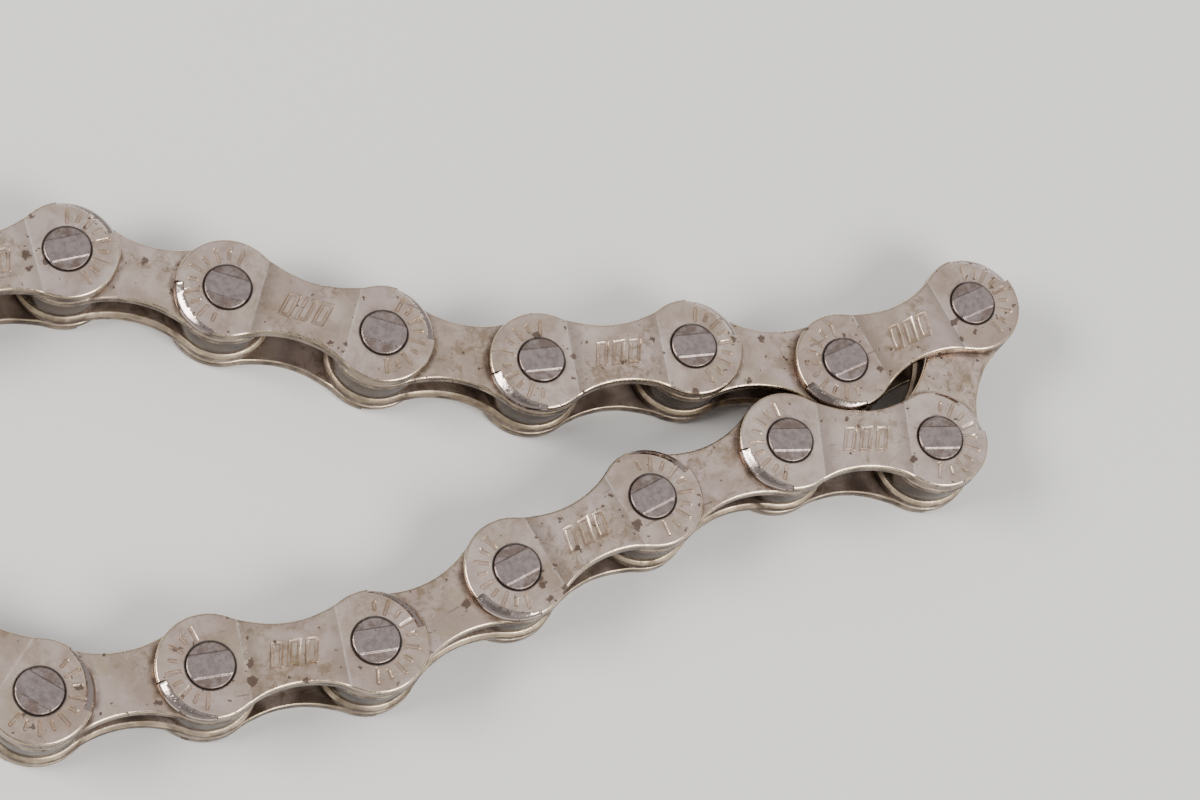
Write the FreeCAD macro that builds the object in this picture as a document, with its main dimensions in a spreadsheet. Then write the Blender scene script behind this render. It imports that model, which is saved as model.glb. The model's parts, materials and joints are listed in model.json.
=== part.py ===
"""Bushless half-inch roller chain, sixteen links, lying on its side in an open hairpin.

Every rivet is vertical.  Z = 0 is the surface that the lower rivet ends lie on, and the origin
is the centre of the chain's plan.  The chain starts at the open end of the far strand with an
inner link, runs along +X, folds back at the right and ends with an outer link.
Inner links are two plates with formed collars and a roller on each collar pair.  Outer links
are two joggled plates on a pair of rivets.  All lengths are in millimetres.
"""
import FreeCAD, Part
import Sketcher
import math
import os
import re

from FreeCAD import Placement, Rotation, Vector

# Driving dimensions: spreadsheet alias, value, meaning.
DIMENSIONS = (
    ("pitch", 12.7, "rivet centre to rivet centre, half an inch"),
    ("end_radius", 4.15, "round end of every link plate"),
    ("waist_half", 2.45, "half the height of a plate at its waist"),
    ("outer_thickness", 1.0, "outer plate stock"),
    ("inner_thickness", 1.0, "inner plate stock"),
    ("inner_width", 2.38, "clear width between inner plates, for 3/32 inch sprockets"),
    ("side_gap", 0.08, "running gap between an inner and an outer plate"),
    ("joggle", 0.2, "how far the middle of an outer plate stands out"),
    ("crease", 3.8, "plate centre to the crease where the joggle starts"),
    ("ramp", 1.0, "length of the joggle's slope"),
    ("rivet_radius", 1.825, "rivet"),
    ("rivet_length", 7.1, "rivet over both staked ends"),
    ("rivet_chamfer", 0.12, "edge break on each rivet end"),
    ("stake_half", 0.93, "half width of the raised band across a staked rivet end"),
    ("stake_depth", 0.12, "how far the two staked segments are struck down"),
    ("hole_chamfer", 0.1, "edge break of a rivet hole on the plate's outer face"),
    ("collar_bore", 1.875, "radius of the bore through an inner plate and its collar"),
    ("collar_radius", 2.5, "outside of a collar, the roller's bearing"),
    ("collar_height", 1.1, "how far a collar stands in from its plate"),
    ("guide_chamfer", 0.3, "chamfer on an inner plate's inside edge, which guides the teeth"),
    ("roller_radius", 3.875, "roller"),
    ("roller_bore", 2.6, "radius of the roller's bore"),
    ("roller_length", 2.2, "roller along its axis"),
    ("roller_chamfer", 0.2, "edge break of a roller"),
    ("bevel_shift", 0.92, "rivet centre to the centre that a shift bevel is swept about"),
    ("bevel_bearing", 25.0, "direction of that offset from the plate's length, degrees"),
    ("bevel_radius", 4.24, "inner edge of the bevel, about its own centre"),
    ("bevel_width", 1.2, "radial reach of the bevel's cutter"),
    ("bevel_depth", 0.56, "depth of the bevel's cutter at that reach"),
    ("bevel_start", 192.0, "where the bevel begins, degrees about its own centre"),
    ("bevel_sweep", 66.0, "angle that the bevel covers"),
)
D = {alias: value for alias, value, _ in DIMENSIONS}

LINK_PAIRS = 8
FIRST_HEADING = 0.0
# Turn of the chain at each rivet from the open inner end, degrees, left turns positive.
TURNS = (6, -27, -3, 7, 16, -11, 29, -134, -69, 21, 5, 0, -19, 0, -41)

doc = FreeCAD.newDocument("RollerChain")


def make_sheet():
    """Spreadsheet with one aliased number per driving dimension."""
    sheet = doc.addObject("Spreadsheet::Sheet", "Dimensions")
    for row, (alias, value, meaning) in enumerate(DIMENSIONS, start=1):
        sheet.set(f"A{row}", meaning)
        sheet.set(f"B{row}", str(value))
        sheet.setAlias(f"B{row}", alias)
    doc.recompute()
    return sheet


def bind(thing, prop, formula):
    """Bind a property to a formula of the sheet's aliases."""
    thing.setExpression(prop, re.sub("[a-z_]+", qualified, formula))


def qualified(match):
    word = match.group()
    return f"Dimensions.{word}" if word in D else word


def value_of(formula):
    """Number that a formula of the sheet's aliases gives."""
    return float(doc.Dimensions.evalExpression(formula))


def new_body(label):
    return doc.addObject("PartDesign::Body", label)


def origin_plane(body, role):
    return next(item for item in body.Origin.OriginFeatures if item.Role == role)


def new_sketch(body, name, role):
    """Sketch on one of the body's own origin planes."""
    sketch = body.newObject("Sketcher::SketchObject", name)
    sketch.AttachmentSupport = [(origin_plane(body, role), "")]
    sketch.MapMode = "FlatFace"
    return sketch


def hold(sketch, kind, geometry, point, formula, number):
    """Signed distance from the sketch's origin to a point, bound to a formula."""
    index = sketch.addConstraint(Sketcher.Constraint(kind, -1, 1, geometry, point, number))
    bind(sketch, f"Constraints[{index}]", formula)


def add_polygon(sketch, corners):
    """Closed polygon whose corners are pairs of formulas such as 'pitch / 2 + ramp'."""
    points = [Vector(value_of(x), value_of(y), 0) for x, y in corners]
    first = sketch.GeometryCount
    count = len(points)
    for i in range(count):
        sketch.addGeometry(Part.LineSegment(points[i], points[(i + 1) % count]), False)
    for i in range(count):
        following = first + (i + 1) % count
        sketch.addConstraint(Sketcher.Constraint("Coincident", first + i, 2, following, 1))
    for i, (x, y) in enumerate(corners):
        hold(sketch, "DistanceX", first + i, 1, x, points[i].x)
        hold(sketch, "DistanceY", first + i, 1, y, points[i].y)


def add_circle(sketch, x, radius):
    """Circle on the plate's long axis, its centre and radius bound to the sheet."""
    circle = Part.Circle(Vector(value_of(x), 0, 0), Vector(0, 0, 1), D[radius])
    index = sketch.addGeometry(circle, False)
    hold(sketch, "DistanceX", index, 3, x, value_of(x))
    sketch.addConstraint(Sketcher.Constraint("PointOnObject", index, 3, -1))
    size = sketch.addConstraint(Sketcher.Constraint("Radius", index, D[radius]))
    bind(sketch, f"Constraints[{size}]", radius)


def add_plate_outline(sketch):
    """Figure-eight outline: two round ends joined by two hollow flanks, all tangent."""
    half = D["pitch"] / 2
    end, waist = D["end_radius"], D["waist_half"]
    flank = (half ** 2 + waist ** 2 - end ** 2) / (2 * (end - waist))
    lean = math.atan2(waist + flank, half)
    up = Vector(0, 0, 1)

    def arc(x, y, radius, start, stop):
        circle = Part.Circle(Vector(x, y, 0), up, radius)
        return sketch.addGeometry(Part.ArcOfCircle(circle, start, stop), False)

    right = arc(half, 0, end, lean - math.pi, math.pi - lean)
    top = arc(0, waist + flank, flank, lean - math.pi, -lean)
    left = arc(-half, 0, end, lean, 2 * math.pi - lean)
    low = arc(0, -waist - flank, flank, lean, math.pi - lean)
    joins = ((right, 2, top, 2), (top, 1, left, 1), (left, 2, low, 2), (low, 1, right, 1))
    for one, one_end, other, other_end in joins:
        sketch.addConstraint(Sketcher.Constraint("Tangent", one, one_end, other, other_end))
    for index, x in ((right, "pitch / 2"), (left, "-pitch / 2")):
        sketch.addConstraint(Sketcher.Constraint("PointOnObject", index, 3, -1))
        hold(sketch, "DistanceX", index, 3, x, half if index == right else -half)
        size = sketch.addConstraint(Sketcher.Constraint("Radius", index, end))
        bind(sketch, f"Constraints[{size}]", "end_radius")
    flank_formula = (
        "((pitch / 2) ^ 2 + waist_half ^ 2 - end_radius ^ 2) / (2 * (end_radius - waist_half))"
    )
    for index in (top, low):
        size = sketch.addConstraint(Sketcher.Constraint("Radius", index, flank))
        bind(sketch, f"Constraints[{size}]", flank_formula)


def pad(body, name, sketch, formula, midplane=False, reverse=False):
    feature = body.newObject("PartDesign::Pad", name)
    feature.Profile = sketch
    bind(feature, "Length", formula)
    feature.Midplane = midplane
    feature.Reversed = reverse
    return feature


def pocket_through(body, name, sketch):
    """Cut the profile right through the body, both ways from the sketch."""
    feature = body.newObject("PartDesign::Pocket", name)
    feature.Profile = sketch
    feature.Type = "ThroughAll"
    feature.Midplane = True
    return feature


def chamfer(body, name, base, formula, chosen):
    """Chamfer the base feature's edges for which chosen(edge) is true."""
    doc.recompute()
    names = [f"Edge{i}" for i, edge in enumerate(base.Shape.Edges, start=1) if chosen(edge)]
    feature = body.newObject("PartDesign::Chamfer", name)
    feature.Base = (base, names)
    bind(feature, "Size", formula)
    return feature


def flat_at(edge, z):
    """True for an edge that lies wholly in the plane at height z."""
    box = edge.BoundBox
    return abs(box.ZMin - z) < 1e-6 and abs(box.ZMax - z) < 1e-6


def is_circle(edge, radius):
    curve = edge.Curve
    return isinstance(curve, Part.Circle) and abs(curve.Radius - radius) < 1e-6


def add_bevels(body):
    """Two coined shift bevels on the outer face, one on each end, point-symmetric."""
    sketch = new_sketch(body, "BevelSection", "XZ_Plane")
    bearing = math.radians(D["bevel_bearing"])
    shift = D["bevel_shift"]
    centre = Vector(shift * math.cos(bearing) - D["pitch"] / 2, 0, -shift * math.sin(bearing))
    turn = Rotation(Vector(0, 1, 0), D["bevel_start"])
    sketch.AttachmentOffset = Placement(centre, turn)
    bind(sketch, "AttachmentOffset.Base.x",
         "bevel_shift * cos(bevel_bearing * 1deg) - pitch / 2")
    bind(sketch, "AttachmentOffset.Base.z", "-bevel_shift * sin(bevel_bearing * 1deg)")
    reach = "bevel_radius + bevel_width"
    face = "outer_thickness"
    add_polygon(sketch, (
        ("bevel_radius", face),
        (reach, "outer_thickness - bevel_depth"),
        (reach, "outer_thickness + joggle"),
        ("bevel_radius", "outer_thickness + joggle"),
    ))
    groove = body.newObject("PartDesign::Groove", "Bevel")
    groove.Profile = sketch
    groove.ReferenceAxis = (sketch, ["V_Axis"])
    bind(groove, "Angle", "bevel_sweep")
    doc.recompute()
    pattern = body.newObject("PartDesign::PolarPattern", "BevelPair")
    pattern.Originals = [groove]
    pattern.Axis = (origin_plane(body, "Z_Axis"), [""])
    pattern.Angle = 360
    pattern.Occurrences = 2
    body.Tip = pattern
    return pattern


def make_outer_plate(label):
    """Joggled outer plate.  Local Z = 0 is the inner face of its ends, +Z points outwards."""
    body = new_body(label)
    section = new_sketch(body, "SideSection", "XZ_Plane")
    stop = "pitch / 2 + end_radius * 1.2"
    inner = "crease - ramp"
    high = "outer_thickness + joggle"
    add_polygon(section, (
        ("-pitch / 2 - end_radius * 1.2", "0"),
        ("-crease", "0"),
        ("ramp - crease", "joggle"),
        (inner, "joggle"),
        ("crease", "0"),
        (stop, "0"),
        (stop, "outer_thickness"),
        ("crease", "outer_thickness"),
        (inner, high),
        ("ramp - crease", high),
        ("-crease", "outer_thickness"),
        ("-pitch / 2 - end_radius * 1.2", "outer_thickness"),
    ))
    pad(body, "Strip", section, "end_radius * 3", midplane=True)
    trim = new_sketch(body, "Outline", "XY_Plane")
    add_plate_outline(trim)
    far_x, far_y = "pitch + end_radius", "end_radius * 2"
    add_polygon(trim, (
        ("-pitch - end_radius", "-end_radius * 2"),
        (far_x, "-end_radius * 2"),
        (far_x, far_y),
        ("-pitch - end_radius", far_y),
    ))
    pocket_through(body, "Blank", trim)
    holes = new_sketch(body, "RivetHoles", "XY_Plane")
    add_circle(holes, "pitch / 2", "rivet_radius")
    add_circle(holes, "-pitch / 2", "rivet_radius")
    drilled = pocket_through(body, "Pierce", holes)
    chamfer(body, "HoleEdges", drilled, "hole_chamfer",
            lambda edge: is_circle(edge, D["rivet_radius"]) and flat_at(edge, D["outer_thickness"]))
    add_bevels(body)
    return body


def make_inner_plate(label):
    """Flat inner plate with two collars.  Local Z = 0 is its inner face, +Z points outwards."""
    body = new_body(label)
    outline = new_sketch(body, "Outline", "XY_Plane")
    add_plate_outline(outline)
    blank = pad(body, "Blank", outline, "inner_thickness")
    chamfer(body, "ToothGuides", blank, "guide_chamfer", lambda edge: flat_at(edge, 0))
    collars = new_sketch(body, "CollarRings", "XY_Plane")
    add_circle(collars, "pitch / 2", "collar_radius")
    add_circle(collars, "-pitch / 2", "collar_radius")
    pad(body, "Collars", collars, "collar_height", reverse=True)
    bores = new_sketch(body, "Bores", "XY_Plane")
    add_circle(bores, "pitch / 2", "collar_bore")
    add_circle(bores, "-pitch / 2", "collar_bore")
    pocket_through(body, "Pierce", bores)
    return body


def make_roller(label):
    """Roller ring with broken edges, turned about its own Z axis and centred on it."""
    body = new_body(label)
    section = new_sketch(body, "Section", "XZ_Plane")
    top, low = "roller_length / 2", "-roller_length / 2"
    add_polygon(section, (
        ("roller_bore", low),
        ("roller_radius - roller_chamfer", low),
        ("roller_radius", "roller_chamfer - roller_length / 2"),
        ("roller_radius", "roller_length / 2 - roller_chamfer"),
        ("roller_radius - roller_chamfer", top),
        ("roller_bore", top),
    ))
    ring = body.newObject("PartDesign::Revolution", "Ring")
    ring.Profile = section
    ring.ReferenceAxis = (section, ["V_Axis"])
    ring.Angle = 360
    return body


def make_rivet(label):
    """Rivet centred on its own Z axis, both ends staked on either side of a raised band."""
    body = new_body(label)
    circle = new_sketch(body, "Section", "XY_Plane")
    add_circle(circle, "0", "rivet_radius")
    shank = pad(body, "Shank", circle, "rivet_length", midplane=True)
    chamfer(body, "EndEdges", shank, "rivet_chamfer",
            lambda edge: is_circle(edge, D["rivet_radius"]))
    strike = new_sketch(body, "Strike", "YZ_Plane")
    top = "rivet_length / 2 + stake_depth"
    floor = "rivet_length / 2 - stake_depth"
    out = "rivet_radius * 1.2"
    add_polygon(strike, (("stake_half", floor), (out, floor), (out, top), ("stake_half", top)))
    segment = pocket_through(body, "Segment", strike)
    doc.recompute()
    pattern = body.newObject("PartDesign::MultiTransform", "Segments")
    pattern.Originals = [segment]
    body.Tip = pattern
    mirrors = []
    for role in ("XY_Plane", "XZ_Plane"):
        mirror = body.newObject("PartDesign::Mirrored", f"Mirror{role[:2]}")
        mirror.MirrorPlane = (origin_plane(body, role), [""])
        mirrors.append(mirror)
    pattern.Transformations = mirrors
    body.Tip = pattern
    return body


def rivet_points():
    """Plan position of every rivet axis, the chain's plan centred on the origin."""
    points = [Vector(0, 0, 0)]
    headings = []
    heading = FIRST_HEADING
    for turn in TURNS + (0,):
        headings.append(heading)
        angle = math.radians(heading)
        points.append(points[-1] + Vector(math.cos(angle), math.sin(angle), 0) * D["pitch"])
        heading += turn
    xs = [point.x for point in points]
    ys = [point.y for point in points]
    centre = Vector((min(xs) + max(xs)) / 2, (min(ys) + max(ys)) / 2, 0)
    return [point - centre for point in points], headings


def plate_placement(middle, heading, upper, standoff):
    """Place a plate: upright above the chain's mid height, turned over below it."""
    over = Rotation(Vector(1, 0, 0), 0 if upper else 180)
    spin = Rotation(Vector(0, 0, 1), heading)
    height = D["rivet_length"] / 2 + (standoff if upper else -standoff)
    return Placement(Vector(middle.x, middle.y, height), spin.multiply(over))


def make_inner_link(number, start, stop, heading):
    middle = (start + stop) * 0.5
    made = []
    for side in ("upper", "lower"):
        plate = make_inner_plate(f"inner_plate_{number:02d}_{side}")
        plate.Placement = plate_placement(middle, heading, side == "upper", D["inner_width"] / 2)
        made.append(plate)
    for offset, point in enumerate((start, stop)):
        roller = make_roller(f"roller_{2 * number - 1 + offset:02d}")
        roller.Placement = Placement(Vector(point.x, point.y, D["rivet_length"] / 2), Rotation())
        made.append(roller)
    return made


def make_outer_link(number, start, stop, heading, riveted):
    """Outer link on the rivets at the given points; an open end has holes and no rivet."""
    middle = (start + stop) * 0.5
    standoff = D["inner_width"] / 2 + D["inner_thickness"] + D["side_gap"]
    made = []
    for side in ("upper", "lower"):
        plate = make_outer_plate(f"outer_plate_{number:02d}_{side}")
        plate.Placement = plate_placement(middle, heading, side == "upper", standoff)
        made.append(plate)
    rivets = []
    for letter, point in zip("ab", riveted):
        rivet = make_rivet(f"rivet_{number:02d}_{letter}")
        centre = Vector(point.x, point.y, D["rivet_length"] / 2)
        rivet.Placement = Placement(centre, Rotation(Vector(0, 0, 1), heading))
        rivets.append(rivet)
    group = doc.addObject("Part::Compound", f"rivets_{number:02d}")
    group.Links = rivets
    made.append(group)
    return made


def make_chain():
    points, headings = rivet_points()
    made = []
    for pair in range(LINK_PAIRS):
        first = 2 * pair
        a, b, c = points[first:first + 3]
        made += make_inner_link(pair + 1, a, b, headings[first])
        last = pair == LINK_PAIRS - 1
        riveted = (b,) if last else (b, c)
        made += make_outer_link(pair + 1, b, c, headings[first + 1], riveted)
    return made


def check(made):
    """Stop with a message if any object failed or any sub-part is not a sound solid."""
    for item in doc.Objects:
        bad = [state for state in item.State if state in ("Invalid", "Error")]
        if bad:
            raise RuntimeError(f"{item.Label}: {bad}")
    for item in made:
        if item.Shape.isNull() or not item.Shape.isValid():
            raise RuntimeError(f"{item.Label}: unsound shape")


def main():
    make_sheet()
    made = make_chain()
    doc.recompute()
    check(made)
    os.makedirs("parts", exist_ok=True)
    for item in made:
        item.Shape.exportStep(f"parts/{item.Label}.step")
    volume = sum(item.Shape.Volume for item in made)
    print(f"{len(made)} sub-parts, {volume:.1f} mm3 of steel")


main()
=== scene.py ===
"""Looks of the narrow bushless roller chain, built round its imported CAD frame.

Every plate, roller and rivet is a fine mesh that stands for its CAD node: rolled plate edges,
coined bevels, struck marks and staked rivet ends are geometry.  Shapes are in millimetres until
a mesh is made; objects, lights and node trees are in metres.
"""
import json
import math

import bmesh
import bpy
from mathutils import Matrix, Vector
from mathutils.geometry import delaunay_2d_cdt


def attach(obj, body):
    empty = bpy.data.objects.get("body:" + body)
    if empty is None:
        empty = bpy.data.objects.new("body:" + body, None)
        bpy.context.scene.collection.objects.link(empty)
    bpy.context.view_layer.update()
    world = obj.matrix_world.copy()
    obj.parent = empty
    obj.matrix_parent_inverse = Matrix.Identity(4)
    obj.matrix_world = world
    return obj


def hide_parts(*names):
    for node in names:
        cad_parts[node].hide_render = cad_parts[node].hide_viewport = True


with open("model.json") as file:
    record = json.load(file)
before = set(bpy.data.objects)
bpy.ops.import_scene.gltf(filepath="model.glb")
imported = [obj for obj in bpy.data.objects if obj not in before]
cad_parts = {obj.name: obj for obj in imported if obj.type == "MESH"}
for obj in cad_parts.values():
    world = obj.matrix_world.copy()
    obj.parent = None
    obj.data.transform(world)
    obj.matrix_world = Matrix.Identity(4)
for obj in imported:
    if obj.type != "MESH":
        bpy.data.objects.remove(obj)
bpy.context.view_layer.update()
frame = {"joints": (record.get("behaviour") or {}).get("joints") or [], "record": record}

MM = 0.001

# Plate outline: two round ends of radius END joined by concave flanks of radius FLANK.
PITCH = 12.7
HALF = PITCH / 2
END = 4.15
WAIST = 2.45
FLANK = (HALF ** 2 + WAIST ** 2 - END ** 2) / (2 * (END - WAIST))
LEAN = math.atan2(WAIST + FLANK, HALF)

# Plate thickness, and where each kind of plate's inner face lies from the chain's mid-plane.
STOCK = 1.0
INNER_OFF = 2.38 / 2
SIDE_GAP = 0.08
OUTER_OFF = INNER_OFF + STOCK + SIDE_GAP

# Joggle of the outer plates: rise of the waist, where it bends, how long it takes and how many
# mesh lines follow it.
JOGGLE = 0.2
CREASE = 3.8
RAMP = 1.5
CREASE_COLUMNS = 10

# Edges: rolled edge of both plates' outer faces, edge of the outer plate's inner face, and the
# inner plate's tooth guide as pairs of inset and lift.
EDGE_R = 0.24
EDGE_INSETS = (0.0, 0.01, 0.035, 0.075, 0.13, 0.19, 0.24, 0.28)
INNER_EDGE_R = 0.16
INNER_EDGE_INSETS = (0.0, 0.01, 0.035, 0.075, 0.12, 0.16)
GUIDE = ((0.0, 0.38), (0.02, 0.3), (0.07, 0.22), (0.24, 0.05), (0.3, 0.01), (0.36, 0.0))
LINE_MARGIN = 0.03

# Rivets: BAND is half the width of the raised band that staking leaves across each end.
RIVET_R = 1.825
RIVET_LENGTH = 7.1
RIVET_HALF = RIVET_LENGTH / 2
RIVET_EDGE = 0.12
RIVET_INSETS = (0.0, 0.006, 0.024, 0.055, 0.09, 0.12, 0.15)
BAND = 0.93
STAKE_DEPTH = 0.12
STAKE_SLOPE = 0.15

# Rivet holes of the outer plate, with their edge break as pairs of radius added and drop.
HOLE_R = RIVET_R + 0.02
HOLE_BREAK = 0.1
HOLE_EDGE = ((0.0, HOLE_BREAK), (0.03, 0.03), (0.07, 0.008), (HOLE_BREAK, 0.0))

# Inner plate's bore and formed collar, as one profile of radius and height through both.
BORE_R = 1.875
COLLAR_R = 2.5
COLLAR_HEIGHT = 1.1
BORE_MOUTH = BORE_R + 0.3
COLLAR_ROOT = COLLAR_R + 0.12
COLLAR_PROFILE = (
    (BORE_MOUTH, STOCK), (BORE_R + 0.18, STOCK - 0.02), (BORE_R + 0.06, STOCK - 0.09),
    (BORE_R, STOCK - 0.2), (BORE_R, 0.0), (BORE_R, 0.06 - COLLAR_HEIGHT),
    (BORE_R + 0.06, -COLLAR_HEIGHT), (COLLAR_R - 0.12, -COLLAR_HEIGHT),
    (COLLAR_R - 0.03, 0.04 - COLLAR_HEIGHT), (COLLAR_R, 0.14 - COLLAR_HEIGHT),
    (COLLAR_R, -0.12), (COLLAR_R + 0.04, -0.04), (COLLAR_ROOT, 0.0),
)

# Rollers; each is turned by ROLLER_TURN radians more than the one before.
ROLLER_R = 3.875
ROLLER_BORE = 2.6
ROLLER_LENGTH = 2.2
ROLLER_EDGE = 0.22
ROLLER_TURN = 1.7

# Shift bevels: swept about a centre beside the rivet, between two radial steps.  STEP is how
# deep a bevel starts and how wide its walls are.
BEVEL_BEARING = math.radians(25)
BEVEL_SHIFT = 0.92
BEVEL_X = -HALF + BEVEL_SHIFT * math.cos(BEVEL_BEARING)
BEVEL_Y = BEVEL_SHIFT * math.sin(BEVEL_BEARING)
BEVEL_R = 4.3
BEVEL_SLOPE = 0.62
BEVEL_FROM = math.radians(189)
BEVEL_TO = math.radians(268)
STEP = 0.05
BEVEL_STEPS = (BEVEL_FROM, BEVEL_FROM + STEP / END, BEVEL_TO - STEP / END, BEVEL_TO)

# Struck marks: half width of a stroke, width of its sloping edge and depth.  Each run of ticks is
# an end of the plate, its first and last bearing in degrees and a count; TICKS has the inner and
# outer radius of its long and short ticks in turn.
STROKE = 0.175
STROKE_EDGE = 0.105
MARK_DEPTH = 0.13
TICK_RUNS = ((-1, 82, 262, 10), (1, -72, 76, 9))
TICKS = ((2.25, 3.3), (2.5, 3.05))
FRAME_PITCH = 1.35
FRAME_HALF_WIDTH = 0.36
FRAME_HALF_HEIGHT = 0.92
FRAME_LEAN = 0.22

# Colours: clean and stained nickel of each kind of plate, then what lies on the metal, with painted
# shade, highlights and a warm reflection among them.
OUTER_NICKEL = (0.77, 0.62, 0.54), (0.55, 0.415, 0.33)
INNER_NICKEL = (0.75, 0.595, 0.51), (0.53, 0.40, 0.315)
PINKISH = (0.66, 0.50, 0.50)
YELLOWISH = (0.60, 0.49, 0.34)
TARNISH = (0.27, 0.18, 0.10)
RUBBED = (0.78, 0.70, 0.63)
# Painted shade beside each crease of the outer plates, and a painted highlight along the bend.
CREASE_SHADE = (0.33, 0.25, 0.195)
CREASE_HIGHLIGHT = (0.86, 0.78, 0.71)
# Cut sides: their own duller colour, warmed by a painted reflection.
CUT_SIDE_AND_REFLECTION = (0.58, 0.45, 0.32)
COINED = (0.50, 0.42, 0.40)
# Edges worn bare, with a painted golden highlight.
WORN_AND_HIGHLIGHT = (0.76, 0.61, 0.42)
DIRT = (0.048, 0.024, 0.014)
# Painted shadow of the gap round each rivet.
GAP_SHADE = (0.022, 0.017, 0.016)
# Oil on the cut sides and inner faces, dark enough to paint their shade.
OIL_AND_SHADE = (0.034, 0.020, 0.013)
# Roller steel and oil film painted dark, standing for the shade and dark reflections between the
# plates.
ROLLER_STEEL_SHADED = (0.085, 0.060, 0.043)
ROLLER_FILM_SHADED = (0.03, 0.019, 0.012)
RIVET_STEEL = (0.40, 0.325, 0.305), (0.27, 0.215, 0.205)
RIVET_DIRT = (0.19, 0.13, 0.10)
RIVET_PIT = (0.05, 0.04, 0.04)


# ---------------------------------------------------------------- plate outline and distances

def outline_samples(spacing=0.16):
    """Points round the plate as (centre x, centre y, direction x, direction y, radius, sign)."""
    rows = []

    def arc(cx, cy, radius, start, stop, sign, extra=()):
        count = max(2, int(abs(stop - start) * radius / spacing))
        angles = set(start + (stop - start) * i / count for i in range(count))
        angles.update(extra)
        for a in sorted(angles, reverse=stop < start):
            rows.append((cx, cy, math.cos(a), math.sin(a), radius, sign))

    arc(HALF, 0, END, LEAN - math.pi, math.pi - LEAN, 1, [a - math.pi for a in BEVEL_STEPS])
    arc(0, WAIST + FLANK, FLANK, -LEAN, LEAN - math.pi, -1)
    arc(-HALF, 0, END, LEAN, 2 * math.pi - LEAN, 1, BEVEL_STEPS)
    arc(0, -WAIST - FLANK, FLANK, math.pi - LEAN, LEAN, -1)
    return rows


def ring_points(rows, inset):
    """Outline points moved into the plate by inset."""
    return [(cx + dx * (r - s * inset), cy + dy * (r - s * inset))
            for cx, cy, dx, dy, r, s in rows]


def inset_of(x, y):
    """Distance from a point inside the plate to its outline."""
    x, y = abs(x), abs(y)
    if x * (WAIST + FLANK) + y * HALF < HALF * (WAIST + FLANK):
        if x / HALF < 1 - y / (WAIST + FLANK):
            return math.hypot(x, WAIST + FLANK - y) - FLANK
    return END - math.hypot(x - HALF, y)


def half_height(x, inset):
    """Half height of the plate at x, pulled in by inset."""
    x = abs(x)
    if x < HALF - (END - inset) * math.cos(LEAN):
        return WAIST + FLANK - math.sqrt((FLANK + inset) ** 2 - x ** 2)
    return math.sqrt(max(0.0, (END - inset) ** 2 - (x - HALF) ** 2))


def smooth(t):
    t = min(1.0, max(0.0, t))
    return t * t * (3 - 2 * t)


# ---------------------------------------------------------------- surface relief

def joggle(x):
    """Rise of the waist: a crisp crease next to the lobe, then easing into the raised middle."""
    rest = 1 - min(1.0, max(0.0, (CREASE - abs(x)) / RAMP))
    return JOGGLE * (1 - rest ** 2.2)


def rolled(inset, radius):
    """How far a rolled edge has dropped at a distance from the outline."""
    if inset >= radius:
        return 0.0
    return radius - math.sqrt(max(0.0, radius ** 2 - (radius - inset) ** 2))


def bevel(x, y):
    """Depth of the coined shift bevels, point-symmetric on the two ends."""
    if x > 0:
        x, y = -x, -y
    angle = math.atan2(y, x + HALF) % (2 * math.pi)
    if not BEVEL_FROM < angle < BEVEL_TO:
        return 0.0
    radius = max(math.hypot(x + HALF, y), 0.1)
    wall = min(angle - BEVEL_FROM, BEVEL_TO - angle) * radius / STEP
    reach = math.hypot(x - BEVEL_X, y - BEVEL_Y) - BEVEL_R
    if reach <= 0:
        return 0.0
    return (STEP + BEVEL_SLOPE * reach) * min(1.0, reach / STEP) * min(1.0, max(0.0, wall))


def marks():
    """Strokes struck into an outer plate: ticks round each rivet and three slanted frames."""
    ticks = []
    for end, first, last, count in TICK_RUNS:
        for i in range(count):
            a = math.radians(first + (last - first) * i / (count - 1))
            ticks.append(tuple((end * HALF + r * math.cos(a), r * math.sin(a))
                               for r in TICKS[i % 2]))
    frames = []
    for i in (-1, 0, 1):
        x = FRAME_PITCH * i
        frames.append([(x - FRAME_HALF_WIDTH - FRAME_LEAN, -FRAME_HALF_HEIGHT),
                       (x + FRAME_HALF_WIDTH - FRAME_LEAN, -FRAME_HALF_HEIGHT),
                       (x + FRAME_HALF_WIDTH + FRAME_LEAN, FRAME_HALF_HEIGHT),
                       (x - FRAME_HALF_WIDTH + FRAME_LEAN, FRAME_HALF_HEIGHT)])
    return ticks, frames


def distance_to(px, py, a, b):
    """Distance from a point to the segment from a to b."""
    (ax, ay), (bx, by) = a, b
    t = ((px - ax) * (bx - ax) + (py - ay) * (by - ay)) / ((bx - ax) ** 2 + (by - ay) ** 2)
    t = min(1.0, max(0.0, t))
    return math.hypot(px - ax - t * (bx - ax), py - ay - t * (by - ay))


STROKES, FRAMES = marks()
SEGMENTS = STROKES + [(corners[i], corners[(i + 1) % 4]) for corners in FRAMES for i in range(4)]


def engraving(x, y):
    """Depth of the struck marks."""
    nearest = min(distance_to(x, y, a, b) for a, b in SEGMENTS)
    return MARK_DEPTH * smooth((STROKE - nearest) / STROKE_EDGE)


# ---------------------------------------------------------------- mesh building

def circle(cx, radius, count=96):
    angles = [2 * math.pi * i / count for i in range(count)]
    return [(cx + radius * math.cos(a), radius * math.sin(a)) for a in angles]


def capsule(a, b, radius, count=8):
    """Closed contour at a distance from a segment."""
    angle = math.atan2(b[1] - a[1], b[0] - a[0])
    points = []
    for centre, start in ((b, angle - math.pi / 2), (a, angle + math.pi / 2)):
        for i in range(count + 1):
            t = start + math.pi * i / count
            points.append((centre[0] + radius * math.cos(t), centre[1] + radius * math.sin(t)))
    return points


def corners_of(points):
    """Each corner of a closed polygon, between the one before it and the one after."""
    count = len(points)
    return [[Vector(points[(i + k) % count]) for k in (-1, 0, 1)] for i in range(count)]


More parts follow.
